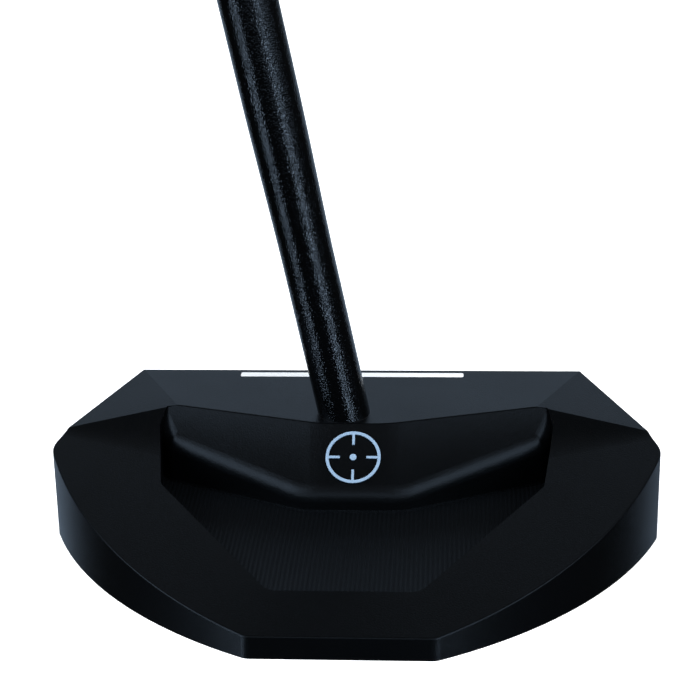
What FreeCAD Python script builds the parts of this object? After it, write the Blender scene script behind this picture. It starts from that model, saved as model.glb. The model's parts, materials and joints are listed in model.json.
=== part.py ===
import FreeCAD, Part
import Sketcher
import math
import os

# A centre-shafted mallet putter at its address position.
# +X runs from heel to toe, +Y from the back of the head to the target, +Z up.
# The origin is the middle of the flat sole, on the ground.  All sizes are millimetres.

V = FreeCAD.Vector

THROUGH = 120.0  # longer than the head is wide: the length of a cut that goes right through it
CLEAR = 30.0  # more than the head is tall: how far a cutting outline reaches past it
OVERLAP = 1.0  # how far a round cutter starts outside the metal

SIZES = {
    # head outline, seen from above; "back" is the distance behind the topline
    "topline_back": 34.9,
    "face_half": 42.14,
    "shoulder_half": 53.3,
    "shoulder_back": 19.16,
    "widest_half": 55.4,
    "widest_back": 24.6,
    "tail_half": 15.3,
    "tail_back": 71.0,
    "side_radius": 85.0,
    "widest_corner": 5.0,
    "tail_corner": 3.0,
    "edge_round": 0.3,
    # heights of the head
    "topline_height": 22.79,
    "face_loft": 3.0,
    "top_rake": 3.9,
    "facet_droop": 7.9,
    "peak_half": 33.3,
    "peak_back": 15.93,
    "flange_slope": 15.35,
    "tail_height": 4.1,
    "cove_back": 27.4,
    "cove_end_rise": 0.2,
    "cove_end_back": 21.6,
    # milled pocket behind the crown
    "pocket_front_half": 35.2,
    "pocket_front_back": 15.4,
    "pocket_wide_half": 36.1,
    "pocket_wide_back": 19.0,
    "pocket_side_half": 33.85,
    "pocket_side_back": 34.3,
    "pocket_rear_half": 12.6,
    "pocket_rear_back": 60.75,
    "pocket_floor_tilt": 2.4,
    "pocket_rear_step": 0.3,
    "pocket_corner": 3.0,
    "pocket_bend": 2.0,
    # crown between the peaks, and the wall under its rear edge
    "ridge_half": 6.1,
    "ridge_back": 23.3,
    "crown_slope": 45.0,
    "crown_hollow": 7.0,
    "slope_run": 11.0,
    "slope_end_run": 6.0,
    "slope_end_half": 38.0,
    "crown_root_back": 14.0,
    "crown_corner_half": 37.7,
    "crown_corner_back": 15.2,
    "crown_end_half": 34.4,
    "crown_end_back": 20.6,
    "crown_bend_half": 8.8,
    "crown_rear_back": 32.5,
    "crown_corner": 2.5,
    "crown_bend": 14.0,
    "crown_crease": 20.0,
    "crown_round": 4.0,
    "ridge_round": 0.4,
    "crown_base": 5.0,
    # shaft
    "shaft_lean": 11.3,
    "shaft_offset": 2.1,
    "shaft_back": 18.4,
    "bore_radius": 4.8,
    "bore_depth": 16.5,
    "tip_radius": 4.7,
    "tip_parallel": 28.0,
    "step_radius": 5.1,
    "step_top": 62.0,
    "butt_radius": 7.35,
    "shaft_top": 862.0,
    "shaft_wall": 0.5,
    "plug_length": 12.0,
    "bond_spill": 1.5,
    # face insert
    "insert_half": 34.0,
    "insert_half_height": 8.4,
    "insert_thickness": 3.2,
    "insert_corner": 3.0,
    "insert_height": 11.2,
    "film": 0.15,
    "groove_pitch": 1.4,
    "groove_width": 0.5,
    "groove_depth": 0.2,
    # paint fills
    "line_centre": -1.5,
    "line_length": 42.7,
    "line_width": 1.85,
    "line_back": 1.37,
    "line_corner": 0.35,
    "fill_depth": 0.3,
    "ring_radius": 4.95,
    "ring_stroke": 0.55,
    "ring_back": 27.9,
    "tick_length": 2.0,
    "tick_width": 0.45,
    "dot_radius": 0.6,
    # sole weights
    "weight_radius": 4.95,
    "weight_hole": 5.0,
    "weight_height": 3.8,
    "weight_recess": 0.2,
    "socket_radius": 2.3,
    "socket_depth": 1.8,
    # grip
    "grip_bottom": 600.0,
    "grip_belly": 790.0,
    "tape_thickness": 0.15,
    "skin_thickness": 1.6,
    "cap_height": 5.0,
    "cap_round": 2.4,
    "vent_radius": 2.0,
    "collar_length": 4.0,
    "collar_radius": 8.2,
    "collar_flare": 1.0,
}

WEIGHT_PLACES = {
    # node number: (distance towards the toe, distance behind the topline)
    1: (38.0, 9.5),
    2: (46.5, 27.5),
    3: (36.6, 44.0),
    4: (19.5, 59.0),
    5: (-19.5, 59.0),
    6: (-36.6, 44.0),
    7: (-46.5, 27.5),
    8: (-38.0, 9.5),
}

# radius of the round back and distance of the flat front from the axis, at three heights
GRIP_SECTIONS = {
    "grip_bottom": (11.2, 9.6),
    "grip_belly": (13.6, 11.4),
    "shaft_top": (14.4, 12.0),
}

doc = FreeCAD.newDocument("putter")
sheet = doc.addObject("Spreadsheet::Sheet", "Sizes")
for row, (alias, size) in enumerate(SIZES.items(), start=1):
    sheet.set("A%d" % row, alias)
    sheet.set("B%d" % row, str(size))
    sheet.setAlias("B%d" % row, alias)
doc.recompute()


def mm(name):
    """A size from the sheet; a leading minus turns its sign round."""
    if name.startswith("-"):
        return -mm(name[1:])
    return float(sheet.get(name))


def bind(thing, prop, formula):
    """Drive a property from the sheet; words in braces are aliases."""
    thing.setExpression(prop, formula.replace("{", "Sizes.").replace("}", ""))


def new_body(name):
    body = doc.addObject("PartDesign::Body", name)
    body.Label = name
    return body


def origin_plane(body, role):
    for feature in body.Origin.OriginFeatures:
        if feature.Role == role:
            return feature
    raise RuntimeError("no origin plane " + role)


def new_sketch(body, name, role, offset=None):
    sketch = body.newObject("Sketcher::SketchObject", name)
    sketch.AttachmentSupport = [(origin_plane(body, role), "")]
    sketch.MapMode = "FlatFace"
    if offset is not None:
        sketch.AttachmentOffset = offset
    return sketch


def fix_point(sketch, edge, end, point, tie):
    """Hold one end of an edge at its place, tied to the sheet where a tie is named."""
    for kind, number, formula in (("DistanceX", point[0], tie[0]), ("DistanceY", point[1], tie[1])):
        constraint = sketch.addConstraint(Sketcher.Constraint(kind, -1, 1, edge, end, number))
        if formula:
            bind(sketch, "Constraints[%d]" % constraint, formula)


def closed_outline(sketch, corners, arcs=()):
    """Draw a closed outline.  A corner is (x, y, x formula, y formula).  arcs maps the index of an
    edge to (radius, side, radius formula), where side says which way the edge bulges."""
    arcs = dict(arcs)
    count = len(corners)
    for index in range(count):
        start = V(corners[index][0], corners[index][1], 0)
        end = V(corners[(index + 1) % count][0], corners[(index + 1) % count][1], 0)
        if index in arcs:
            radius, side, _ = arcs[index]
            middle = (start + end) * 0.5
            chord = end - start
            half = chord.Length / 2
            out = V(chord.y, -chord.x, 0).normalize() * side
            sagitta = radius - math.sqrt(radius * radius - half * half)
            edge = Part.Arc(start, middle + out * sagitta, end)
            reversed_arc = side < 0
        else:
            edge = Part.LineSegment(start, end)
            reversed_arc = False
        sketch.addGeometry(edge, False)
        first = 2 if reversed_arc else 1
        fix_point(sketch, index, first, (start.x, start.y), corners[index][2:4])
    for index in range(count):
        following = (index + 1) % count
        last = 1 if index in arcs and arcs[index][1] < 0 else 2
        first = 2 if following in arcs and arcs[following][1] < 0 else 1
        sketch.addConstraint(Sketcher.Constraint("Coincident", index, last, following, first))
    for index, (radius, _, formula) in arcs.items():
        constraint = sketch.addConstraint(Sketcher.Constraint("Radius", index, radius))
        if formula:
            bind(sketch, "Constraints[%d]" % constraint, formula)


def pad(body, name, sketch, length, formula=None, side="One side", backwards=False):
    feature = body.newObject("PartDesign::Pad", name)
    feature.Profile = sketch
    feature.SideType = side
    feature.Length = length
    feature.Reversed = backwards
    if formula:
        bind(feature, "Length", formula)
    return feature


def pocket(body, name, sketch, length, formula=None, side="One side", backwards=False, along=None):
    feature = body.newObject("PartDesign::Pocket", name)
    feature.Profile = sketch
    feature.SideType = side
    feature.Length = length
    feature.Reversed = backwards
    if along is not None:
        feature.UseCustomVector = True
        feature.Direction = along
        feature.AlongSketchNormal = False
    if formula:
        bind(feature, "Length", formula)
    return feature


def round_edges(body, name, radius_name, wanted):
    """Fillet the body's edges that the test picks out."""
    doc.recompute()
    tip = body.Tip
    names = []
    for number, edge in enumerate(tip.Shape.Edges, start=1):
        if wanted(edge):
            names.append("Edge%d" % number)
    feature = body.newObject("PartDesign::Fillet", name)
    feature.Base = (tip, names)
    bind(feature, "Radius", "{%s}" % radius_name)
    doc.recompute()
    return feature


def edge_middle(edge):
    return edge.valueAt((edge.FirstParameter + edge.LastParameter) / 2)


def is_upright(edge):
    span = edge.BoundBox
    return span.XLength < 0.01 and span.YLength < 0.01 and span.ZLength > 1


# ---- heights that several pieces share -----------------------------------------------------

RAKE = math.tan(math.radians(mm("top_rake")))
SLOPE = math.tan(math.radians(mm("flange_slope")))
CROWN_SLOPE = math.tan(math.radians(mm("crown_slope")))
LOFT = math.tan(math.radians(mm("face_loft")))


def top_height(back):
    """Height of the nearly level top face at a distance behind the topline."""
    return mm("topline_height") - back * RAKE


def flange_height(back):
    """Height of the sloping flange at a distance behind the topline."""
    return mm("tail_height") + (mm("tail_back") - back) * SLOPE


FLANGE_FORMULA = "{tail_height} + ({tail_back} - %s) * tan({flange_slope} * 1deg)"
HEAD_PLACEMENT = FreeCAD.Placement(V(0, mm("topline_back"), 0), FreeCAD.Rotation())


# ---- head block ----------------------------------------------------------------------------


def head_section(body):
    """Fore-and-aft section of the head under its nearly level top, with the lofted face."""
    sketch = new_sketch(body, "head_section", "YZ_Plane")
    height = mm("topline_height")
    rear = mm("tail_back") + OVERLAP
    closed_outline(sketch, [
        (height * LOFT, 0.0, "{topline_height} * tan({face_loft} * 1deg)", None),
        (0.0, height, None, "{topline_height}"),
        (-rear, top_height(rear), None, None),
        (-rear, 0.0, None, None),
    ])
    return sketch


def flange_section(body, name, offset, start, rise, end):
    """Section of what lies above the flange: a concave cove that runs down into a flat slope.
    start and end are the aliases of the cove's two ends, and rise is its height at the start."""
    sketch = new_sketch(body, name, "YZ_Plane", FreeCAD.Placement(V(0, 0, offset), FreeCAD.Rotation()))
    rear = mm("tail_back") + OVERLAP
    ceiling = mm("topline_height") + OVERLAP
    run = mm(end) - mm(start)
    height = flange_height(mm(start)) + rise
    drop = height - flange_height(mm(end))
    turn = math.atan2(drop, run) - math.atan(SLOPE)
    radius = math.hypot(run, drop) / (2 * math.sin(turn))
    closed_outline(sketch, [
        (-mm(start), height, "-{%s}" % start, None),
        (-mm(end), flange_height(mm(end)), "-{%s}" % end, FLANGE_FORMULA % ("{%s}" % end)),
        (-rear, flange_height(rear), None, None),
        (-rear, ceiling, None, None),
        (-mm(start), ceiling, "-{%s}" % start, None),
    ], {0: (radius, -1, None)})
    return sketch


def make_block():
    """The head without its crown: level top, coves behind the shoulders and sloping flange."""
    body = new_body("head_block")
    pad(body, "head_pad", head_section(body), THROUGH, side="Symmetric")
    rise = top_height(mm("peak_back")) - flange_height(mm("peak_back"))
    inner = ("peak_back", rise, "cove_back")
    outer = ("shoulder_back", mm("cove_end_rise"), "cove_end_back")
    middle = flange_section(body, "middle_section", 0, *inner)
    pocket(body, "middle_cut", middle, 2 * mm("peak_half"), "2 * {peak_half}", side="Symmetric")
    wing = body.newObject("PartDesign::SubtractiveLoft", "wing_cut")
    wing.Profile = flange_section(body, "inner_section", mm("peak_half"), *inner)
    wing.Sections = [flange_section(body, "outer_section", mm("shoulder_half"), *outer)]
    wing.Ruled = True
    doc.recompute()
    tip_section = flange_section(body, "tip_section", mm("shoulder_half"), *outer)
    tip_cut = pocket(body, "tip_cut", tip_section, CLEAR, backwards=True)
    doc.recompute()
    mirror = body.newObject("PartDesign::Mirrored", "heel_side")
    mirror.Originals = [wing, tip_cut]
    mirror.MirrorPlane = (origin_plane(body, "YZ_Plane"), [""])
    body.Tip = mirror
    doc.recompute()
    return body


FACET_SLOPE = math.tan(math.radians(mm("facet_droop")))
CREASE = V(mm("peak_half") - mm("face_half"), -mm("peak_back"), -mm("peak_back") * RAKE)


def side_edge(edge, half, back):
    """Is this the upright edge at one corner of a plan outline, on either side?"""
    middle = edge_middle(edge)
    upright = abs(edge.tangentAt(edge.FirstParameter).z) > 0.99
    return upright and math.hypot(abs(middle.x) - mm(half), middle.y + mm(back)) < 1.0


def mirrored_corners(corners):
    """Complete a right-hand half outline, given from front to back, with its heel-side mirror."""
    other = []
    for x, y, x_formula, y_formula in reversed(corners):
        other.append((-x, y, "-(%s)" % x_formula if x_formula else None, y_formula))
    return corners + other


def half_corner(half, back):
    """A corner of a plan outline on the toe side, from two aliases."""
    return (mm(half), -mm(back), "{%s}" % half, "-{%s}" % back)


def cut_facets(body):
    """Slope both front shoulders down from the creases that run from the face to the peaks."""
    for side, name in ((1, "toe_facet"), (-1, "heel_facet")):
        sketch = new_sketch(body, name + "_section", "XZ_Plane")
        inner = mm("face_half") * side
        outer = (mm("face_half") + CLEAR) * side
        height = mm("topline_height")
        corners = [
            (inner, height, None, "{topline_height}"),
            (outer, height - CLEAR * FACET_SLOPE, None, None),
            (outer, height + CLEAR, None, None),
            (inner, height + CLEAR, None, None),
        ]
        closed_outline(sketch, corners)
        pocket(body, name, sketch, THROUGH, side="Symmetric",
               along=V(CREASE.x * side, CREASE.y, CREASE.z))
        doc.recompute()


def make_outline():
    """The head's plan outline as an upright prism with rounded corners."""
    body = new_body("outline_prism")
    sketch = new_sketch(body, "plan_outline", "XY_Plane")
    narrowing = (mm("shoulder_half") - mm("face_half")) / mm("shoulder_back")
    front = 4.0  # the outline runs on past the lofted face
    corners = mirrored_corners([
        (mm("face_half") - front * narrowing, front, None, None),
        half_corner("shoulder_half", "shoulder_back"),
        half_corner("widest_half", "widest_back"),
        half_corner("tail_half", "tail_back"),
    ])
    side = (mm("side_radius"), -1, "{side_radius}")
    closed_outline(sketch, corners, {2: side, 4: side})
    pad(body, "outline_pad", sketch, CLEAR)
    round_edges(body, "widest_corners", "widest_corner",
                lambda edge: is_upright(edge) and abs(edge_middle(edge).y + mm("widest_back")) < 1)
    round_edges(body, "tail_corners", "tail_corner",
                lambda edge: is_upright(edge) and abs(edge_middle(edge).y + mm("tail_back")) < 1)
    return body


def cut_pocket(body):
    tilt = mm("pocket_floor_tilt")
    rear = mm("pocket_rear_back")
    level = flange_height(rear) - mm("pocket_rear_step") + rear * math.tan(math.radians(tilt))
    plane = FreeCAD.Placement(V(0, 0, level), FreeCAD.Rotation(V(1, 0, 0), tilt))
    sketch = new_sketch(body, "pocket_outline", "XY_Plane", plane)
    corners = mirrored_corners([
        half_corner("pocket_front_half", "pocket_front_back"),
        half_corner("pocket_wide_half", "pocket_wide_back"),
        half_corner("pocket_side_half", "pocket_side_back"),
        half_corner("pocket_rear_half", "pocket_rear_back"),
    ])
    closed_outline(sketch, corners)
    pocket(body, "cavity", sketch, CLEAR, backwards=True)
    for name, half, back, radius in (
            ("rear_corners", "pocket_rear_half", "pocket_rear_back", "pocket_corner"),
            ("side_corners", "pocket_side_half", "pocket_side_back", "pocket_bend"),
            ("front_corners", "pocket_wide_half", "pocket_wide_back", "pocket_bend")):
        round_edges(body, name, radius, lambda edge: side_edge(edge, half, back))


def make_crown():
    """The boomerang-shaped crown that carries the shaft, standing in the pocket."""
    body = new_body("crown_boss")
    low = FreeCAD.Placement(V(0, 0, mm("crown_base")), FreeCAD.Rotation())
    sketch = new_sketch(body, "crown_outline", "XY_Plane", low)
    closed_outline(sketch, mirrored_corners([
        half_corner("peak_half", "crown_root_back"),
        half_corner("crown_corner_half", "crown_corner_back"),
        half_corner("crown_end_half", "crown_end_back"),
        half_corner("crown_bend_half", "crown_rear_back"),
    ]))
    pad(body, "crown_pad", sketch, CLEAR)
    round_edges(body, "crown_bends", "crown_bend",
                lambda edge: side_edge(edge, "crown_bend_half", "crown_rear_back"))
    round_edges(body, "crown_ends", "crown_corner",
                lambda edge: side_edge(edge, "crown_end_half", "crown_end_back"))
    top = new_sketch(body, "top_section", "YZ_Plane")
    height = mm("topline_height")
    rear = mm("tail_back")
    closed_outline(top, [
        (0.0, height, None, "{topline_height}"),
        (0.0, height + CLEAR, None, None),
        (-rear, height + CLEAR, "-{tail_back}", None),
        (-rear, top_height(rear), "-{tail_back}", None),
    ])
    pocket(body, "top_face", top, THROUGH, side="Symmetric")
    ridge = mm("ridge_back")
    centre = slope_section(body, "centre_section", 0.0, ridge, mm("slope_run"))
    pocket(body, "centre_facet", centre, THROUGH, side="Symmetric")
    doc.recompute()
    inner = mm("ridge_half")
    outer = mm("slope_end_half")
    along = (outer - inner) / (mm("peak_half") - inner)
    end_back = ridge + along * (mm("peak_back") - ridge)
    wing = body.newObject("PartDesign::SubtractiveLoft", "slope_cut")
    wing.Profile = slope_section(body, "inner_slope", inner, ridge, mm("slope_run"))
    wing.Sections = [slope_section(body, "outer_slope", outer, end_back, mm("slope_end_run"))]
    wing.Ruled = True
    doc.recompute()
    mirror = body.newObject("PartDesign::Mirrored", "heel_slope")
    mirror.Originals = [wing]
    mirror.MirrorPlane = (origin_plane(body, "YZ_Plane"), [""])
    body.Tip = mirror
    doc.recompute()
    cut_facets(body)
    round_edges(body, "crown_creases", "crown_crease", is_crown_crease)
    round_edges(body, "crown_lip", "crown_round", is_crown_lip)
    round_edges(body, "crown_ridge", "ridge_round", is_crown_ridge)
    return body


# Where the crown's edges are looked for: distance from the middle on either side, y and height.
CREASE_ZONE = ((5.0, 9.0), (-31.0, -24.0), (12.5, 21.0))
LIP_WINGS = ((20.0, 60.0), (-60.0, -16.9), (11.0, 20.6))
LIP_MIDDLE = ((0.0, 20.0), (-60.0, -30.0), (11.0, 20.6))


def in_zone(edge, zone):
    """Does the middle of this edge lie in a zone?"""
    middle = edge_middle(edge)
    place = (abs(middle.x), middle.y, middle.z)
    return all(low <= value <= high for value, (low, high) in zip(place, zone))


def is_crown_crease(edge):
    """The two soft creases that run down the crown beside its middle facet."""
    return in_zone(edge, CREASE_ZONE)


def is_crown_lip(edge):
    """The lower rear edge of the crown, where its slopes meet the wall under it."""
    flat = abs(edge.tangentAt(edge.FirstParameter).z) < 0.9
    return flat and (in_zone(edge, LIP_WINGS) or in_zone(edge, LIP_MIDDLE))


def is_crown_ridge(edge):
    """The upper edge of the crown's slope, along the back of the nearly level top."""
    middle = edge_middle(edge)
    on_top = abs(middle.z - top_height(-middle.y)) < 0.05
    return on_top and abs(middle.x) < mm("peak_half") and middle.y < -mm("peak_back") + 0.3


def slope_section(body, name, offset, back, run):
    """Section of what is cut away behind a ridge: a shallow hollow, steepest at the ridge."""
    place = FreeCAD.Placement(V(0, 0, offset), FreeCAD.Rotation())
    sketch = new_sketch(body, name, "YZ_Plane", place)
    height = top_height(back)
    foot = height - run * CROWN_SLOPE
    radius = math.hypot(run, run * CROWN_SLOPE) / (2 * math.sin(math.radians(mm("crown_hollow"))))
    closed_outline(sketch, [
        (-back, height, None, None),
        (-back - run, foot, None, None),
        (-back - CLEAR, foot, None, None),
        (-back - CLEAR, height + CLEAR, None, None),
        (-back, height + CLEAR, None, None),
    ], {0: (radius, -1, None)})
    return sketch


def boolean(kind, name, base, tool):
    feature = doc.addObject(kind, name)
    feature.Base = base
    feature.Tool = tool
    doc.recompute()
    return feature


def fillet_part(name, base, radius, wanted):
    """Fillet the edges of a whole piece that the test picks out."""
    feature = doc.addObject("Part::Fillet", name)
    feature.Base = base
    feature.Edges = [(number, radius, radius) for number, edge in
                     enumerate(base.Shape.Edges, start=1) if wanted(edge)]
    doc.recompute()
    return feature


def meets_wall(shape, edge):
    """Does this edge join one upright face and one face that isn't upright?"""
    faces = shape.ancestorsOfType(edge, Part.Face)
    if len(faces) != 2:
        return False
    middle = edge_middle(edge)
    upright = [abs(face.normalAt(*face.Surface.parameter(middle)).z) < 0.1 for face in faces]
    return upright.count(True) == 1


def is_outer_edge(edge):
    """Is this an edge above the sole that isn't upright and lies outside the pocket?"""
    middle = edge_middle(edge)
    upright = abs(edge.tangentAt(edge.FirstParameter).z) > 0.99
    beside = abs(middle.x) > mm("pocket_wide_half") + 0.5
    behind = -middle.y > mm("pocket_rear_back") + 0.5
    before = -middle.y < mm("crown_root_back") - 1.0
    return middle.z > 3 and not upright and (beside or behind or before)


# ---- the shaft's own frame -----------------------------------------------------------------

LEAN = FreeCAD.Rotation(V(0, 1, 0), -mm("shaft_lean"))
SHAFT_BASE = V(-mm("shaft_offset"), mm("topline_back") - mm("shaft_back"), top_height(mm("shaft_back")))
SHAFT_PLACEMENT = FreeCAD.Placement(SHAFT_BASE, LEAN)


def along_shaft(distance):
    """A placement on the shaft's axis, measured up from the top of the head."""
    return FreeCAD.Placement(SHAFT_BASE + LEAN.multVec(V(0, 0, distance)), LEAN)


def cylinder(name, radius, height, placement):
    """A cylinder whose sizes are formulas of the sheet's words in braces."""
    feature = doc.addObject("Part::Cylinder", name)
    bind(feature, "Radius", radius)
    bind(feature, "Height", height)
    feature.Placement = placement
    return feature


def box(name, length, width, height, placement):
    feature = doc.addObject("Part::Box", name)
    bind(feature, "Length", length)
    bind(feature, "Width", width)
    bind(feature, "Height", height)
    feature.Placement = placement
    return feature


def label(feature, name):
    feature.Label = name
    return feature


def cut(name, base, tool):
    return boolean("Part::Cut", name, base, tool)


# ---- head body -----------------------------------------------------------------------------

FACE_TILT = FreeCAD.Rotation(V(1, 0, 0), mm("face_loft"))
FACE_CENTRE = V(mm("line_centre"), (mm("topline_height") - mm("insert_height")) * LOFT,
                mm("insert_height"))


def face_plate(name, depth_formula, sunk):
    """A plate with rounded corners that lies in the plane of the striking face."""
    body = new_body(name)
    sketch = new_sketch(body, name + "_outline", "XZ_Plane",
                        FreeCAD.Placement(V(0, 0, sunk), FreeCAD.Rotation()))
    half = mm("insert_half")
    tall = mm("insert_half_height")
    closed_outline(sketch, [
        (-half, -tall, "-{insert_half}", "-{insert_half_height}"),
        (half, -tall, "{insert_half}", "-{insert_half_height}"),
        (half, tall, "{insert_half}", "{insert_half_height}"),
        (-half, tall, "-{insert_half}", "{insert_half_height}"),
    ])
    pad(body, name + "_pad", sketch, OVERLAP, depth_formula)
    round_edges(body, name + "_corners", "insert_corner",
                lambda edge: abs(edge.tangentAt(edge.FirstParameter).y) > 0.99)
    body.Placement = HEAD_PLACEMENT.multiply(FreeCAD.Placement(FACE_CENTRE, FACE_TILT))
    return body


def make_face_insert():
    """The milled striking plate, with level grooves from heel to toe."""
    body = face_plate("face_insert", "{insert_thickness}", 0.0)
    sketch = new_sketch(body, "groove_outline", "XZ_Plane")
    half = mm("insert_half") + OVERLAP
    low = -mm("insert_half_height") + mm("groove_pitch") - mm("groove_width") / 2
    closed_outline(sketch, [
        (-half, low, None, None),
        (half, low, None, None),
        (half, low + mm("groove_width"), None, None),
        (-half, low + mm("groove_width"), None, None),
    ])
    groove = pocket(body, "groove", sketch, mm("groove_depth"), "{groove_depth}", backwards=True)
    doc.recompute()
    pattern = body.newObject("PartDesign::LinearPattern", "grooves")
    pattern.Originals = [groove]
    pattern.Direction = (sketch, ["V_Axis"])
    pattern.Occurrences = int((2 * mm("insert_half_height") - 1) / mm("groove_pitch"))
    pattern.Length = (pattern.Occurrences - 1) * mm("groove_pitch")
    body.Tip = pattern
    doc.recompute()
    return body


def make_line():
    """The sight line, a bar of paint that fills a shallow slot behind the topline."""
    tilt = FreeCAD.Rotation(V(1, 0, 0), mm("top_rake"))
    back = mm("line_back") + mm("line_width")
    corner = V(mm("line_centre") - mm("line_length") / 2, mm("topline_back") - back,
               top_height(back)) - tilt.multVec(V(0, 0, mm("fill_depth")))
    bar = box("line_bar", "{line_length}", "{line_width}", "{fill_depth}",
              FreeCAD.Placement(corner, tilt))
    doc.recompute()
    return fillet_part("line_rounded", bar, mm("line_corner"),
                       lambda edge: abs(edge.Length - mm("fill_depth")) < 0.01)


def make_ring():
    """A plain sight mark on the crown: a ring with four ticks and a dot, filled with paint."""
    back = mm("ring_back")
    height = top_height(mm("ridge_back")) - (back - mm("ridge_back")) * CROWN_SLOPE
    lean = FreeCAD.Rotation(V(1, 0, 0), mm("crown_slope"))
    centre = V(0, mm("topline_back") - back, height)
    bottom = FreeCAD.Placement(centre - lean.multVec(V(0, 0, mm("fill_depth"))), lean)
    outer = cylinder("ring_outer", "{ring_radius}", "{fill_depth}", bottom)
    inner = cylinder("ring_inner", "{ring_radius} - {ring_stroke}", "{fill_depth}", bottom)
    ring = cut("ring", outer, inner)
    dot = cylinder("dot", "{dot_radius}", "{fill_depth}", bottom)
    pieces = [ring, dot]
    for number in range(4):
        turn = FreeCAD.Rotation(V(0, 0, 1), 90 * number)
        start = V(mm("ring_radius") - mm("ring_stroke") - mm("tick_length"), -mm("tick_width") / 2, 0)
        offset = FreeCAD.Placement(turn.multVec(start), turn)
        pieces.append(box("tick_%d" % number, "{tick_length} + {ring_stroke} / 2", "{tick_width}",
                          "{fill_depth}", bottom.multiply(offset)))
    mark = doc.addObject("Part::MultiFuse", "sight_mark_shape")
    mark.Shapes = pieces
    doc.recompute()
    return mark


def weight_placement(number, depth=0.0):
    across, back = WEIGHT_PLACES[number]
    return FreeCAD.Placement(V(across, mm("topline_back") - back, depth), FreeCAD.Rotation())


def make_head(line, mark):
    block = make_block()
    cut_facets(block)
    cut_pocket(block)
    outline = make_outline()
    crown = make_crown()
    for body in (block, outline, crown):
        body.Placement = HEAD_PLACEMENT
    doc.recompute()
    trimmed = boolean("Part::Common", "trimmed", block, outline)
    fused = boolean("Part::Fuse", "head_blank", trimmed, crown)
    fused.Refine = True
    doc.recompute()
    back = V(0, -mm("topline_back"), 0)

    def moved(edge):
        copy = edge.copy()
        copy.translate(back)
        return copy

    rims = [edge for edge in fused.Shape.Edges
            if meets_wall(fused.Shape, edge) and is_outer_edge(moved(edge))]
    rimmed = fillet_part("head_rimmed", fused, mm("edge_round"),
                         lambda edge: any(edge.isSame(rim) for rim in rims))
    recess = face_plate("face_recess", "{insert_thickness} + {film}", 0.0)
    bore = cylinder("shaft_bore", "{bore_radius}", "2 * {bore_depth}", along_shaft(-mm("bore_depth")))
    tools = [recess, bore, line, mark]
    for number in WEIGHT_PLACES:
        tools.append(cylinder("weight_hole_%d" % number, "{weight_hole}",
                              "{weight_height} + {weight_recess} + %g" % OVERLAP,
                              weight_placement(number, -OVERLAP)))
    machining = doc.addObject("Part::MultiFuse", "machining")
    machining.Shapes = tools
    doc.recompute()
    return label(cut("head", rimmed, machining), "head_body")


# ---- shaft, its plug and its bond ----------------------------------------------------------


def revolved(name, corners, placement=SHAFT_PLACEMENT):
    """A round piece about the shaft's axis, from its (radius, height) section."""
    body = new_body(name)
    sketch = new_sketch(body, name + "_section", "XZ_Plane")
    closed_outline(sketch, corners)
    turned = body.newObject("PartDesign::Revolution", name + "_turned")
    turned.Profile = sketch
    turned.ReferenceAxis = (sketch, ["V_Axis"])
    turned.Angle = 360.0
    body.Placement = placement
    doc.recompute()
    return body


def radius_at(height):
    """Outer radius of the shaft at a height on its axis."""
    stations = [(-mm("bore_depth"), mm("tip_radius")), (mm("tip_parallel"), mm("tip_radius")),
                (mm("step_top"), mm("step_radius")), (mm("shaft_top"), mm("butt_radius"))]
    for (low, low_radius), (high, high_radius) in zip(stations, stations[1:]):
        if height <= high:
            return low_radius + (high_radius - low_radius) * (height - low) / (high - low)
    return mm("butt_radius")


def make_shaft():
    """A tapered steel tube: parallel tip, a quick swell above it, then a long even taper."""
    stations = (("tip_radius", "-{bore_depth}", -mm("bore_depth")),
                ("tip_radius", "{tip_parallel}", mm("tip_parallel")),
                ("step_radius", "{step_top}", mm("step_top")),
                ("butt_radius", "{shaft_top}", mm("shaft_top")))
    outside = [(mm(radius), height, "{%s}" % radius, formula)
               for radius, formula, height in stations]
    inside = [(mm(radius) - mm("shaft_wall"), height, "{%s} - {shaft_wall}" % radius, formula)
              for radius, formula, height in reversed(stations)]
    return revolved("shaft", outside + inside)


def sleeve(name, low, high, inner, outer):
    """A straight or tapered tube on the shaft's axis; inner and outer give the radius at a height."""
    return revolved(name, [
        (outer(low), low, None, None),
        (outer(high), high, None, None),
        (inner(high), high, None, None),
        (inner(low), low, None, None),
    ])


def make_bond():
    """The adhesive between shaft and bore, wiped off flush with the top of the head."""
    tip = mm("tip_radius")
    bore = mm("bore_radius")
    spill = mm("bond_spill")
    film = revolved("bond_film", [
        (tip, -mm("bore_depth"), "{tip_radius}", "-{bore_depth}"),
        (bore, -mm("bore_depth"), "{bore_radius}", "-{bore_depth}"),
        (bore, spill, "{bore_radius}", "{bond_spill}"),
        (tip, spill, "{tip_radius}", "{bond_spill}"),
    ])
    corner = V(-CLEAR / 2, mm("topline_back") - CLEAR, top_height(CLEAR))
    deck = FreeCAD.Placement(corner, FreeCAD.Rotation(V(1, 0, 0), mm("top_rake")))
    above = box("above_deck", "%g" % CLEAR, "%g" % CLEAR, "2 * {bond_spill}", deck)
    return label(cut("wiped_film", film, above), "shaft_bond")


def make_weight(number):
    """A round sole weight with a hexagonal key socket, set just inside the sole."""
    disc = cylinder("disc_%d" % number, "{weight_radius}", "{weight_height}",
                    weight_placement(number, mm("weight_recess")))
    socket = doc.addObject("Part::Prism", "socket_%d" % number)
    socket.Polygon = 6
    bind(socket, "Circumradius", "{socket_radius}")
    bind(socket, "Height", "{socket_depth} + %g" % OVERLAP)
    socket.Placement = weight_placement(number, mm("weight_recess") - OVERLAP)
    return label(cut("weight_%d" % number, disc, socket), "sole_weight_%d" % number)


# ---- grip ----------------------------------------------------------------------------------


def tape_radius(height):
    return radius_at(height) + mm("tape_thickness")


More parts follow.
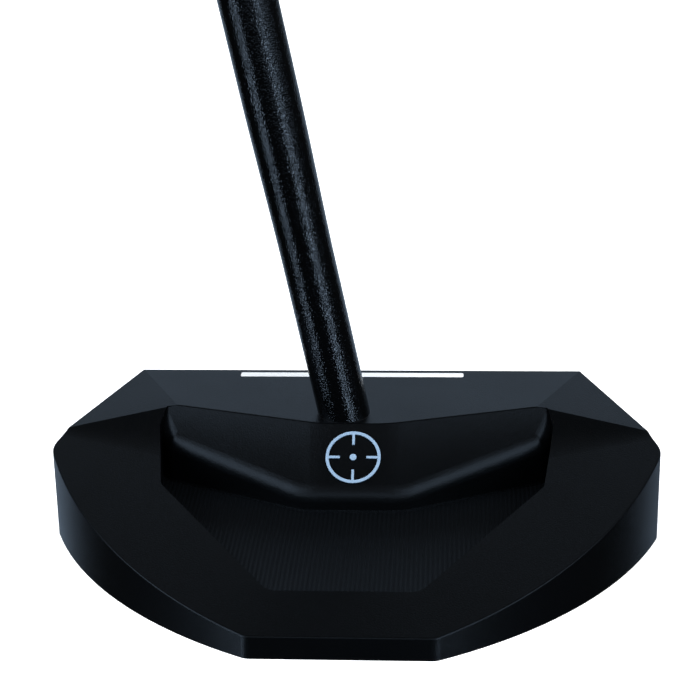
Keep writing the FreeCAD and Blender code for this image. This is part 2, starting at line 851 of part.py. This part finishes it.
def grip_sketch(body, name, height, round_radius, flat):
    """Section of the grip: a round back, a flat front for the thumbs and smooth corners."""
    sketch = new_sketch(body, name, "XY_Plane", FreeCAD.Placement(V(0, 0, height), FreeCAD.Rotation()))
    turn = math.radians(45)
    side = V(round_radius * math.cos(turn), round_radius * math.sin(turn), 0)
    half = side.y - (flat - side.x) / math.tan(turn / 2)
    corner_radius = math.hypot(flat - side.x, side.y - half) / (2 * math.sin(turn / 2))
    closed_outline(sketch, [
        (flat, -half, None, None),
        (flat, half, None, None),
        (side.x, side.y, None, None),
        (-round_radius, 0.0, None, None),
        (side.x, -side.y, None, None),
    ], {1: (corner_radius, 1, None), 2: (round_radius, 1, None),
        3: (round_radius, 1, None), 4: (corner_radius, 1, None)})
    return sketch


def grip_loft(name, inset):
    """The grip's swelling outer shape, smaller all round by an inset."""
    body = new_body(name)
    sketches = [grip_sketch(body, "%s_at_%s" % (name, where), mm(where), radius - inset, flat - inset)
                for where, (radius, flat) in GRIP_SECTIONS.items()]
    loft = body.newObject("PartDesign::AdditiveLoft", name + "_loft")
    loft.Profile = sketches[0]
    loft.Sections = sketches[1:]
    body.Placement = SHAFT_PLACEMENT
    doc.recompute()
    return body


def make_grip():
    """Foam core, rubber skin, tape, trim ring and cap, all on the top of the shaft."""
    low = mm("grip_bottom")
    high = mm("shaft_top")
    tape = sleeve("grip_tape", low, high, radius_at, tape_radius)
    bore = sleeve("grip_bore", low - OVERLAP, high + OVERLAP, lambda height: 0.0, tape_radius)
    inner = grip_loft("grip_inner", mm("skin_thickness"))
    outer = grip_loft("grip_outer", 0.0)
    core = label(cut("core", inner, bore), "grip_core")
    skin = label(cut("skin", outer, inner), "grip_skin")
    return [tape, core, skin, make_cap(), make_collar()]


def make_cap():
    """The rounded butt cap, with its vent."""
    body = new_body("grip_cap")
    top = mm("shaft_top")
    radius, flat = GRIP_SECTIONS["shaft_top"]
    pad(body, "cap_pad", grip_sketch(body, "cap_outline", top, radius, flat), mm("cap_height"),
        "{cap_height}")
    round_edges(body, "cap_edge", "cap_round",
                lambda edge: edge_middle(edge).z > top + mm("cap_height") - 0.01)
    vent = new_sketch(body, "vent_outline", "XY_Plane", FreeCAD.Placement(V(0, 0, top), FreeCAD.Rotation()))
    vent.addGeometry(Part.Circle(V(0, 0, 0), V(0, 0, 1), mm("vent_radius")), False)
    vent.addConstraint(Sketcher.Constraint("Coincident", 0, 3, -1, 1))
    size = vent.addConstraint(Sketcher.Constraint("Radius", 0, mm("vent_radius")))
    bind(vent, "Constraints[%d]" % size, "{vent_radius}")
    pocket(body, "vent", vent, CLEAR, backwards=True)
    body.Placement = SHAFT_PLACEMENT
    doc.recompute()
    return body


def make_collar():
    """The trim ring that closes the lower end of the grip."""
    low = mm("grip_bottom")
    bottom = low - mm("collar_length")
    wide = mm("collar_radius")
    return revolved("grip_collar", [
        (radius_at(bottom), bottom, None, None),
        (wide, bottom, "{collar_radius}", "{grip_bottom} - {collar_length}"),
        (wide + mm("collar_flare"), low, "{collar_radius} + {collar_flare}", "{grip_bottom}"),
        (radius_at(low), low, None, "{grip_bottom}"),
    ])


# ---- assembly ------------------------------------------------------------------------------

line = make_line()
mark = make_ring()
parts = [make_head(line, mark), label(line, "sight_line_fill"), label(mark, "sight_mark_fill")]
film = face_plate("face_bond", "{film}", mm("insert_thickness"))
parts += [make_face_insert(), film, make_shaft(), make_bond()]
bottom = -mm("bore_depth")
parts.append(label(cylinder("plug", "{tip_radius} - {shaft_wall}", "{plug_length}", along_shaft(bottom)),
                   "tip_plug"))
parts += [make_weight(number) for number in WEIGHT_PLACES]
parts += make_grip()
doc.recompute()

for feature in doc.Objects:
    if "Invalid" in feature.State or "Error" in feature.State:
        raise RuntimeError("failed: %s %s" % (feature.Name, feature.State))
os.makedirs("parts", exist_ok=True)
for feature in parts:
    shape = feature.Shape
    if shape.isNull() or not shape.isValid() or not shape.Solids:
        raise RuntimeError("bad shape: " + feature.Label)
    shape.exportStep("parts/%s.step" % feature.Label)
    print("%-18s %2d solids %10.1f mm3" % (feature.Label, len(shape.Solids), shape.Volume))
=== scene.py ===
import json
import math

import bpy
from mathutils import Matrix, Vector


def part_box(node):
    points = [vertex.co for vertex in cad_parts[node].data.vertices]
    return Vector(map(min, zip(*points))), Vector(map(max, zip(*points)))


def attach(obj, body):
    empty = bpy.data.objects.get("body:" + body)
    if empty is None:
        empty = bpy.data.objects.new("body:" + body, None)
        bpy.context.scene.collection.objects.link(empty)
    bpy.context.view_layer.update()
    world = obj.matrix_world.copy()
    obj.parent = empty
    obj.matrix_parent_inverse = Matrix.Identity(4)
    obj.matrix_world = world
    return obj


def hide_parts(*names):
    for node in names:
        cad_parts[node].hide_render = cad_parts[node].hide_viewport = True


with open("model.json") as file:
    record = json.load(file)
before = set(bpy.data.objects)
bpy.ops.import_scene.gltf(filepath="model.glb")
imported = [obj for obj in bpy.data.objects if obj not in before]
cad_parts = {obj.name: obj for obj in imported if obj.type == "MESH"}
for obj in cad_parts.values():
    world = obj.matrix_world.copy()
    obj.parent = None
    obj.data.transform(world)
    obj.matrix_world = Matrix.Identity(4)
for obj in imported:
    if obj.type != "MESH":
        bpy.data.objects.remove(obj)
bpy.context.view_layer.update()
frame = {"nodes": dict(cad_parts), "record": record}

MM = 0.001
ROOT = "root"


# ---- places that come from the frame -------------------------------------------------------


def mount(name):
    """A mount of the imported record: its place and its direction."""
    for entry in frame["record"]["mounts"]:
        if entry["name"] == name:
            return Vector(entry["pos_m"]), Vector(entry["axis"]).normalized()
    raise ValueError("no mount " + name)


VENT, SHAFT_AXIS = mount("butt_vent")
HEAD_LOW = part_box("head_body")[0]


# ---- camera --------------------------------------------------------------------------------

CAMERA_PLACE = Vector((17.746, -284.053, 143.156)) * MM
CAMERA_ELEVATION = 20.0
CAMERA_AZIMUTH = 3.53
CAMERA_ROLL = -1.02
SENSOR = 36.0
LENS = 91.0


def make_camera():
    """Just above and behind the head, a little to the toe side, looking down at the crown."""
    data = bpy.data.cameras.new("camera")
    data.sensor_width = SENSOR
    data.lens = LENS
    data.clip_start = 0.01
    data.clip_end = 100.0
    camera = bpy.data.objects.new("camera", data)
    bpy.context.scene.collection.objects.link(camera)
    turn = (Matrix.Rotation(math.radians(CAMERA_AZIMUTH), 4, "Z")
            @ Matrix.Rotation(math.radians(90.0 - CAMERA_ELEVATION), 4, "X")
            @ Matrix.Rotation(math.radians(CAMERA_ROLL), 4, "Z"))
    camera.matrix_world = Matrix.Translation(CAMERA_PLACE) @ turn
    bpy.context.scene.camera = camera


# ---- material helpers ----------------------------------------------------------------------

# A Mix node has several sockets called A, B and Result; these are its colour ones.
MIX_FIRST = 6
MIX_SECOND = 7
MIX_RESULT = 2


class Nodes:
    """A short way to write a node material."""

    def __init__(self, name):
        self.material = bpy.data.materials.new(name)
        self.material.use_nodes = True
        self.tree = self.material.node_tree
        self.shader = self.tree.nodes["Principled BSDF"]
        self.place = self.add("ShaderNodeTexCoord").outputs["Object"]

    def add(self, kind, **settings):
        """A new node with these settings."""
        node = self.tree.nodes.new(kind)
        for key, value in settings.items():
            setattr(node, key, value)
        return node

    def link(self, source, target):
        self.tree.links.new(source, target)

    def feed(self, node, socket, value):
        """Set a socket to a number, or link another node's output to it."""
        if isinstance(value, bpy.types.NodeSocket):
            self.link(value, node.inputs[socket])
        else:
            node.inputs[socket].default_value = value

    def math(self, operation, first, second=0.0, third=None):
        """The result of a Math node; each operand is a number or a socket."""
        node = self.add("ShaderNodeMath", operation=operation)
        self.feed(node, 0, first)
        self.feed(node, 1, second)
        if third is not None:
            self.feed(node, 2, third)
        return node.outputs[0]

    def noise(self, size, detail=2.0, stretch=(1, 1, 1)):
        """Noise whose grain is about `size` metres across; stretch lengthens it along an axis."""
        mapping = self.add("ShaderNodeMapping")
        self.link(self.place, mapping.inputs["Vector"])
        mapping.inputs["Scale"].default_value = [1 / factor for factor in stretch]
        node = self.add("ShaderNodeTexNoise")
        self.link(mapping.outputs[0], node.inputs["Vector"])
        node.inputs["Scale"].default_value = 1 / size
        node.inputs["Detail"].default_value = detail
        return node.outputs["Fac"]

    def ramp(self, value, low, high):
        """Scale a 0 to 1 value to the range low to high."""
        node = self.add("ShaderNodeMapRange")
        self.feed(node, "Value", value)
        node.inputs["To Min"].default_value = low
        node.inputs["To Max"].default_value = high
        return node.outputs[0]

    def colours(self, value, first, second):
        """A blend between two colours."""
        node = self.add("ShaderNodeMix", data_type="RGBA")
        self.feed(node, "Factor", value)
        node.inputs[MIX_FIRST].default_value = (*first, 1)
        node.inputs[MIX_SECOND].default_value = (*second, 1)
        return node.outputs[MIX_RESULT]

    def bump(self, height, depth, previous=None):
        """Raise the surface by up to depth metres where height is 1."""
        node = self.add("ShaderNodeBump")
        self.feed(node, "Height", height)
        node.inputs["Distance"].default_value = depth
        node.inputs["Strength"].default_value = 1.0
        if previous is not None:
            self.link(previous, node.inputs["Normal"])
        return node.outputs[0]

    def finish(self, colour, roughness, normal=None, metallic=0.0, specular=0.5):
        """Join the maps to the shader and return the finished material."""
        self.link(colour, self.shader.inputs["Base Color"])
        self.link(roughness, self.shader.inputs["Roughness"])
        if normal is not None:
            self.link(normal, self.shader.inputs["Normal"])
        self.shader.inputs["Metallic"].default_value = metallic
        self.shader.inputs["Specular IOR Level"].default_value = specular
        return self.material


# ---- materials -----------------------------------------------------------------------------

POCKET_HALF = 36.4 * MM
POCKET_REAR_HALF = 13.6 * MM
POCKET_FLARE = 0.80  # how fast the pocket widens forward of its rear edge
POCKET_FRONT = 54.5 * MM  # this and the next are measured forward from the tail
POCKET_REAR = 10.0 * MM
FLOOR_AT_REAR = 6.6 * MM
FLOOR_SLOPE = math.tan(math.radians(2.4))
FLOOR_ABOVE = 0.4 * MM  # how far above and below the floor the milled band reaches
FLOOR_BELOW = 0.5 * MM
FLANGE_AT_TAIL = 4.1 * MM
FLANGE_SLOPE = math.tan(math.radians(15.35))
FLANGE_SKIN = 0.1 * MM  # what lies this close to the flange's surface isn't floor
CUTTER_STEP = 0.8 * MM


def pocket_mask(nodes):
    """1 on the milled floor of the pocket, 0 elsewhere."""
    parts = nodes.add("ShaderNodeSeparateXYZ")
    nodes.link(nodes.place, parts.inputs[0])
    x, y, z = parts.outputs
    from_tail = nodes.math("SUBTRACT", y, HEAD_LOW.y)
    from_rear = nodes.math("SUBTRACT", from_tail, POCKET_REAR)
    floor = nodes.math("MULTIPLY_ADD", from_rear, FLOOR_SLOPE, FLOOR_AT_REAR)
    above_floor = nodes.math("SUBTRACT", z, floor)
    flange = nodes.math("MULTIPLY_ADD", from_tail, FLANGE_SLOPE, FLANGE_AT_TAIL)
    half = nodes.math("MULTIPLY_ADD", from_rear, POCKET_FLARE, POCKET_REAR_HALF)
    limits = (
        nodes.math("LESS_THAN", above_floor, FLOOR_ABOVE),
        nodes.math("LESS_THAN", z, nodes.math("SUBTRACT", flange, FLANGE_SKIN)),
        nodes.math("GREATER_THAN", above_floor, -FLOOR_BELOW),
        nodes.math("LESS_THAN", nodes.math("ABSOLUTE", x), nodes.math("MINIMUM", half, POCKET_HALF)),
        nodes.math("LESS_THAN", from_tail, POCKET_FRONT),
        nodes.math("GREATER_THAN", from_tail, POCKET_REAR),
    )
    mask = limits[0]
    for limit in limits[1:]:
        mask = nodes.math("MULTIPLY", mask, limit)
    return mask


def head_anodised():
    """Fine bead-blasted black anodising, with the cutter's fore-and-aft lines in the pocket."""
    nodes = Nodes("head_anodised")
    parts = nodes.add("ShaderNodeSeparateXYZ")
    nodes.link(nodes.place, parts.inputs[0])
    mask = pocket_mask(nodes)
    turns = nodes.math("MULTIPLY", parts.outputs["X"], 2 * math.pi / CUTTER_STEP)
    lines = nodes.math("MULTIPLY_ADD", nodes.math("SINE", turns), 0.5, 0.5)
    wander = nodes.noise(2.5 * MM, 2.0, (1, 30, 30))
    milled = nodes.math("MULTIPLY", nodes.math("MULTIPLY", lines, wander), mask)
    grain = nodes.noise(0.26 * MM, 2.0)
    cloud = nodes.noise(14 * MM, 3.0)
    normal = nodes.bump(grain, 0.03 * MM)
    normal = nodes.bump(milled, 0.10 * MM, normal)
    tone = nodes.math("MULTIPLY_ADD", grain, 0.6, nodes.math("MULTIPLY", cloud, 0.4))
    colour = nodes.colours(tone, (0.0002, 0.0003, 0.0004), (0.0007, 0.0009, 0.0012))
    streaks = nodes.math("MULTIPLY", mask, nodes.math("MULTIPLY_ADD", lines, 0.18, 0.24))
    roughness = nodes.math("ADD", streaks, nodes.ramp(cloud, 0.32, 0.38))
    return nodes.finish(colour, roughness, normal, specular=0.5)


def paint(name, low, high):
    """Paint that fills an engraved mark, very slightly uneven."""
    nodes = Nodes(name)
    cloud = nodes.noise(1.5 * MM, 3.0)
    colour = nodes.colours(cloud, low, high)
    return nodes.finish(colour, nodes.ramp(cloud, 0.38, 0.5), nodes.bump(cloud, 0.02 * MM))


def insert_steel():
    """Fly-cut stainless steel, brushed from heel to toe."""
    nodes = Nodes("insert_steel")
    brushed = nodes.noise(0.15 * MM, 4.0, (120, 1, 1))
    cloud = nodes.noise(6 * MM, 2.0)
    colour = nodes.colours(cloud, (0.30, 0.31, 0.33), (0.38, 0.39, 0.41))
    roughness = nodes.ramp(brushed, 0.22, 0.42)
    return nodes.finish(colour, roughness, nodes.bump(brushed, 0.01 * MM), metallic=1.0)


def epoxy():
    """Cured black epoxy, smooth with a few soft ripples."""
    nodes = Nodes("epoxy")
    cloud = nodes.noise(0.9 * MM, 2.0)
    colour = nodes.colours(cloud, (0.006, 0.006, 0.007), (0.014, 0.014, 0.015))
    return nodes.finish(colour, nodes.ramp(cloud, 0.25, 0.4), nodes.bump(cloud, 0.03 * MM))


def shaft_coat():
    """Black powder coat: a hammered orange-peel grain that glints in small specks."""
    nodes = Nodes("shaft_coat")
    grain = nodes.noise(0.24 * MM, 0.0)
    cloud = nodes.noise(9 * MM, 2.0)
    colour = nodes.colours(grain, (0.0004, 0.0005, 0.0006), (0.0014, 0.0018, 0.0022))
    return nodes.finish(colour, nodes.ramp(cloud, 0.12, 0.15), nodes.bump(grain, 0.065 * MM))


def black_oxide():
    """Turned steel with a black oxide finish, slightly mottled."""
    nodes = Nodes("black_oxide")
    cloud = nodes.noise(1.2 * MM, 3.0)
    grain = nodes.noise(0.15 * MM, 2.0)
    colour = nodes.colours(cloud, (0.045, 0.045, 0.05), (0.085, 0.085, 0.09))
    normal = nodes.bump(grain, 0.01 * MM)
    return nodes.finish(colour, nodes.ramp(cloud, 0.3, 0.45), normal, metallic=0.8)


def plain_stock(name, low, high, rough_low, rough_high, size=1.5 * MM, depth=0.03 * MM):
    """A moulded or papery material whose colour and gloss vary a little."""
    nodes = Nodes(name)
    cloud = nodes.noise(size, 3.0)
    colour = nodes.colours(cloud, low, high)
    return nodes.finish(colour, nodes.ramp(cloud, rough_low, rough_high), nodes.bump(cloud, depth))


def grip_rubber():
    """Moulded black rubber with a soft tack."""
    nodes = Nodes("grip_rubber")
    grain = nodes.noise(0.3 * MM, 3.0)
    cloud = nodes.noise(12 * MM, 3.0)
    colour = nodes.colours(cloud, (0.012, 0.012, 0.013), (0.024, 0.024, 0.026))
    normal = nodes.bump(grain, 0.04 * MM)
    return nodes.finish(colour, nodes.ramp(grain, 0.55, 0.75), normal, specular=0.4)


def paint_nodes():
    """Give each carried-over piece its material, and draw the shaft and the grip's skin again."""
    anodised = head_anodised()
    glue = epoxy()
    rubber = grip_rubber()
    coat = shaft_coat()
    looks = {
        "head_body": anodised,
        "sight_line_fill": paint("line_paint", (0.88, 0.90, 0.90), (0.95, 0.96, 0.96)),
        "sight_mark_fill": paint("mark_paint", (0.27, 0.39, 0.53), (0.33, 0.47, 0.62)),
        "face_insert": insert_steel(),
        "face_bond": glue,
        "shaft_bond": glue,
        "shaft": coat,
        "tip_plug": plain_stock("plug_plastic", (0.70, 0.67, 0.60), (0.80, 0.77, 0.70), 0.4, 0.6),
        "grip_tape": plain_stock("tape_paper", (0.72, 0.68, 0.55), (0.84, 0.80, 0.68), 0.7, 0.9),
        "grip_core": plain_stock("grip_foam", (0.08, 0.08, 0.08), (0.13, 0.13, 0.13), 0.8, 0.95),
        "grip_skin": rubber,
        "grip_cap": rubber,
        "grip_collar": plain_stock("collar_plastic", (0.010, 0.010, 0.011), (0.02, 0.02, 0.021),
                                   0.18, 0.3, 4 * MM, 0.01 * MM),
    }
    oxide = black_oxide()
    for name, node in frame["nodes"].items():
        material = looks.get(name, oxide)
        node.data.materials.clear()
        node.data.materials.append(material)
    make_shaft(coat)
    make_grip_skin(rubber)


# ---- shaft and grip ------------------------------------------------------------------------

# Heights are distances along the shaft's axis, measured up from the top of the head.
VENT_HEIGHT = 864.5 * MM
FRONT = Vector((SHAFT_AXIS.z, 0.0, -SHAFT_AXIS.x))  # out of the flat front of the grip
SIDE = Vector((0.0, 1.0, 0.0))

SHAFT_FOOT = -16.5 * MM
TIP_TOP = 28.0 * MM
SWELL_TOP = 62.0 * MM
FINE_TOP = 90.0 * MM  # the shaft is drawn in short steps up to here
COARSE_FOOT = 100.0 * MM
FINE_STEP = 2.0 * MM
COARSE_STEP = 20.0 * MM
SHAFT_TOP = 862.0 * MM
TIP_RADIUS = 4.7 * MM
SWELL_RADIUS = 5.1 * MM
BUTT_RADIUS = 7.35 * MM
SHAFT_WALL = 0.5 * MM
SHAFT_SIDES = 96

GRIP_BOTTOM = 600.0 * MM
GRIP_BELLY = 790.0 * MM
GRIP_SKIN = 1.6 * MM
ROUND_BACK = (11.2 * MM, 13.6 * MM, 14.4 * MM)  # at the bottom, the belly and the top
FLAT_FRONT = (9.6 * MM, 11.4 * MM, 12.0 * MM)
GRIP_SHOULDER = math.radians(45)  # where the flat front's corner meets the round back
GRIP_STEP = 0.7 * MM
GRIP_SIDES = 132


def ease(low, high, value):
    """0 below low and 1 above high, with a smooth rise between them."""
    part = min(max((value - low) / (high - low), 0.0), 1.0)
    return part * part * (3 - 2 * part)


def shaft_radius(height):
    """Parallel tip, soft swell, then an even taper to the butt."""
    swell = TIP_RADIUS + (SWELL_RADIUS - TIP_RADIUS) * ease(TIP_TOP, SWELL_TOP, height)
    taper = max(height - SWELL_TOP, 0.0) / (SHAFT_TOP - SWELL_TOP)
    return swell + (BUTT_RADIUS - SWELL_RADIUS) * taper


def through(values, height):
    """The smooth curve through three sizes of the grip, at its bottom, belly and top."""
    places = (GRIP_BOTTOM, GRIP_BELLY, SHAFT_TOP)
    total = 0.0
    for index, value in enumerate(values):
        weight = 1.0
        for other, place in enumerate(places):
            if other != index:
                weight *= (height - place) / (places[index] - place)
        total += value * weight
    return total


def from_front(angle):
    """How far an angle lies from the middle of the flat front, either way round."""
    return abs((angle + math.pi) % (2 * math.pi) - math.pi)


def grip_radius(angle, height):
    """How far the grip reaches from the axis; angle 0 is the middle of its flat front."""
    back = through(ROUND_BACK, height)
    flat = through(FLAT_FRONT, height)
    turn = from_front(angle)
    corner = (flat - back * math.cos(GRIP_SHOULDER)) / (1 - math.cos(GRIP_SHOULDER))
    middle = back - corner
    if turn >= GRIP_SHOULDER:
        return back
    if math.tan(turn) * flat <= middle * math.sin(GRIP_SHOULDER):
        return flat / math.cos(turn)
    off = GRIP_SHOULDER - turn
    return middle * math.cos(off) + math.sqrt(corner ** 2 - (middle * math.sin(off)) ** 2)


PEBBLES_ROUND = 22
PEBBLE_LENGTH = 3.6 * MM
PEBBLE_DEPTH = 0.4 * MM
PLAIN_END = 7.0 * MM
PATTERN_FADE = 2.0 * MM
FRONT_EDGE = (math.radians(20), math.radians(27))  # ribs inside the first, diamonds outside both
THUMB_LOW = 752.0 * MM
THUMB_HIGH = 842.0 * MM
THUMB_PITCH = 6.0 * MM
THUMB_DEPTH = 0.5 * MM


def pebble_groove(angle, height):
    """1 in the grooves between the moulded diamonds, falling to 0 over each diamond."""
    across = angle / (2 * math.pi) * PEBBLES_ROUND
    along = (height - GRIP_BOTTOM) / PEBBLE_LENGTH
    first = abs((across + along) % 1.0 - 0.5) * 2
    second = abs((across - along) % 1.0 - 0.5) * 2
    return ease(0.45, 1.0, max(first, second))


def grip_relief(angle, height):
    """How deep the moulded pattern lies under the grip's plain outline."""
    turn = from_front(angle)
    on_front = 1 - ease(*FRONT_EDGE, turn)
    inside = ease(GRIP_BOTTOM + PLAIN_END - PATTERN_FADE, GRIP_BOTTOM + PLAIN_END, height)
    inside *= 1 - ease(SHAFT_TOP - PLAIN_END, SHAFT_TOP - PLAIN_END + PATTERN_FADE, height)
    ribs = 0.5 + 0.5 * math.cos(2 * math.pi * (height - THUMB_LOW) / THUMB_PITCH)
    if not THUMB_LOW < height < THUMB_HIGH:
        ribs = 1.0
    pebbles = pebble_groove(angle, height) * PEBBLE_DEPTH
    thumb = (1 - ribs) * THUMB_DEPTH
    return inside * (pebbles * (1 - on_front) + thumb * on_front)


def turned_piece(name, rings, count):
    """A closed mesh from rings round the shaft's axis; a ring is a height and a radius that is a
    number or a function of the angle.  The last ring joins the first."""
    points = []
    for height, radius in rings:
        centre = VENT + SHAFT_AXIS * (height - VENT_HEIGHT)
        for number in range(count):
            angle = 2 * math.pi * number / count
            reach = radius(angle) if callable(radius) else radius
            points.append(centre + (FRONT * math.cos(angle) + SIDE * math.sin(angle)) * reach)
    faces = []
    for row in range(len(rings)):
        following = (row + 1) % len(rings)
        for number in range(count):
            beside = (number + 1) % count
            faces.append((row * count + number, row * count + beside,
                          following * count + beside, following * count + number))
    mesh = bpy.data.meshes.new(name)
    mesh.from_pydata(points, [], faces)
    mesh.polygons.foreach_set("use_smooth", [True] * len(faces))
    mesh.set_sharp_from_angle(angle=math.radians(50))
    piece = bpy.data.objects.new(name, mesh)
    bpy.context.scene.collection.objects.link(piece)
    return piece


def spread(low, high, step):
    """Evenly spaced values from low to high, about a step apart."""
    count = max(1, round((high - low) / step))
    return [low + (high - low) * number / count for number in range(count + 1)]


def make_shaft(coat):
    """The steel tube with a soft swell above its parallel tip."""
    heights = spread(SHAFT_FOOT, FINE_TOP, FINE_STEP) + spread(COARSE_FOOT, SHAFT_TOP, COARSE_STEP)
    outside = [(height, shaft_radius(height)) for height in heights]
    inside = [(height, shaft_radius(height) - SHAFT_WALL) for height in reversed(heights)]
    shaft = turned_piece("shaft_tube", outside + inside, SHAFT_SIDES)
    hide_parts("shaft")
    dress(shaft, coat)


def make_grip_skin(rubber):
    """The moulded skin: diamonds all round, and a flat front with ribs where the thumbs lie."""

    def patterned(height):
        return lambda angle: grip_radius(angle, height) - grip_relief(angle, height)

    def bare(height):
        return lambda angle: grip_radius(angle, height) - GRIP_SKIN

    outside = [(height, patterned(height)) for height in spread(GRIP_BOTTOM, SHAFT_TOP, GRIP_STEP)]
    inside = [(height, bare(height)) for height in spread(GRIP_BOTTOM, SHAFT_TOP, COARSE_STEP)]
    inside.reverse()
    skin = turned_piece("grip_moulding", outside + inside, GRIP_SIDES)
    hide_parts("grip_skin")
    dress(skin, rubber)


def dress(piece, material):
    """Give a new piece its material and the body that it rides on."""
    piece.data.materials.append(material)
    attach(piece, ROOT)


# ---- studio --------------------------------------------------------------------------------

COOL = (0.72, 0.97, 1.30)
NEUTRAL = (1.0, 1.0, 1.0)
PANEL_DISTANCE = 1.4
FLOOR_HALF = 30.0

# The surround's brightness, from straight down (0) over the horizon (0.5) to overhead (1).
SURROUND = ((0.0, 0.01), (0.35, 0.015), (0.5, 0.03), (0.75, 0.08), (0.9, 0.09), (0.96, 0.04),
            (1.0, 0.02))
SURROUND_TINT = (0.92, 1.0, 1.1)


def area_light(name, place, target, width, height, radiance, colour=COOL):
    """A soft box that looks as bright as `radiance` from the front; the camera doesn't see it."""
    data = bpy.data.lights.new(name, "AREA")
    data.shape = "RECTANGLE"
    data.size = width
    data.size_y = height
    data.energy = radiance * math.pi * width * height
    data.color = colour
    light = bpy.data.objects.new(name, data)
    bpy.context.scene.collection.objects.link(light)
    light.location = place
    light.rotation_mode = "QUATERNION"
    light.rotation_quaternion = (Vector(target) - Vector(place)).to_track_quat("-Z", "Y")
    light.visible_camera = False
    return light


def standing_panel(name, azimuth, arc, low, high, radiance):
    """An upright panel round the putter.  Azimuth is in degrees from the player's side (-Y)
    towards the toe; arc is its width, and low and high are the elevations of its edges."""
    turn = math.radians(azimuth)
    bottom = PANEL_DISTANCE * math.tan(math.radians(low))
    top = PANEL_DISTANCE * math.tan(math.radians(high))
    centre = Vector((math.sin(turn) * PANEL_DISTANCE, -math.cos(turn) * PANEL_DISTANCE,
                     (bottom + top) / 2))
    width = 2 * PANEL_DISTANCE * math.tan(math.radians(arc / 2))
    return area_light(name, centre, (0, 0, centre.z), width, top - bottom, radiance)


def make_floor():
    """A plain pale floor that glows a little, so that it stays white under soft light."""
    mesh = bpy.data.meshes.new("floor")
    corners = [(x * FLOOR_HALF, y * FLOOR_HALF, 0) for x, y in ((-1, -1), (1, -1), (1, 1), (-1, 1))]
    mesh.from_pydata(corners, [], [(0, 1, 2, 3)])
    floor = bpy.data.objects.new("floor", mesh)
    bpy.context.scene.collection.objects.link(floor)
    nodes = Nodes("floor_white")
    cloud = nodes.noise(0.4, 2.0)
    colour = nodes.colours(cloud, (0.90, 0.90, 0.90), (0.92, 0.92, 0.92))
    nodes.shader.inputs["Emission Color"].default_value = (1, 1, 1, 1)
    nodes.shader.inputs["Emission Strength"].default_value = 0.75
    mesh.materials.append(nodes.finish(colour, nodes.ramp(cloud, 0.8, 0.9)))
    floor.visible_glossy = False
    floor.visible_diffuse = False
    floor.visible_shadow = False


def make_world():
    """A dim studio surround, brightest high up, which the camera itself sees as plain white."""
    world = bpy.data.worlds.new("studio")
    bpy.context.scene.world = world
    world.use_nodes = True
    tree = world.node_tree
    background = tree.nodes["Background"]
    output = tree.nodes["World Output"]
    place = tree.nodes.new("ShaderNodeTexCoord")
    split = tree.nodes.new("ShaderNodeSeparateXYZ")
    tree.links.new(place.outputs["Generated"], split.inputs[0])
    height = tree.nodes.new("ShaderNodeValToRGB")
    ramp = height.color_ramp
    while len(ramp.elements) < len(SURROUND):
        ramp.elements.new(0.5)
    for element, (position, value) in zip(ramp.elements, SURROUND):
        element.position = position
        element.color = (*(value * part for part in SURROUND_TINT), 1)
    level = tree.nodes.new("ShaderNodeMath")
    level.operation = "MULTIPLY_ADD"
    tree.links.new(split.outputs["Z"], level.inputs[0])
    level.inputs[1].default_value = 0.5
    level.inputs[2].default_value = 0.5
    tree.links.new(level.outputs[0], height.inputs[0])
    tree.links.new(height.outputs[0], background.inputs["Color"])
    background.inputs["Strength"].default_value = 1.0
    white = tree.nodes.new("ShaderNodeBackground")
    white.inputs["Color"].default_value = (1, 1, 1, 1)
    mix = tree.nodes.new("ShaderNodeMixShader")
    path = tree.nodes.new("ShaderNodeLightPath")
    tree.links.new(path.outputs["Is Camera Ray"], mix.inputs[0])
    tree.links.new(background.outputs[0], mix.inputs[1])
    tree.links.new(white.outputs[0], mix.inputs[2])
    tree.links.new(mix.outputs[0], output.inputs["Surface"])


def light_studio():
    """Low strips and soft panels on the player's side, panels beyond the head, and a fill that
    only the paint and other matt pieces take up."""
    bpy.context.scene.view_settings.view_transform = "Standard"
    standing_panel("far_panel", 180, 90, 20, 38, 0.55)
    standing_panel("strip_left", -52, 10, -27, -2, 4.6)
    standing_panel("strip_right", 41, 11, -19, 0, 6.2)
    standing_panel("soft_left", -64, 50, 10, 45, 1.35)
    standing_panel("soft_right", 56, 48, 10, 45, 1.1)
    standing_panel("soft_front", -4, 60, 6, 22, 0.5)
    standing_panel("low_heel", -155, 40, -32, 0, 0.52)
    standing_panel("low_toe", 156, 38, -32, 0, 0.44)
    fill = area_light("fill", (0, -0.3, 2.0), (0, 0, 0), 1.6, 1.6, 6.4, NEUTRAL)
    fill.visible_glossy = False


# ---- build ---------------------------------------------------------------------------------

make_camera()
paint_nodes()
make_floor()
make_world()
light_studio()
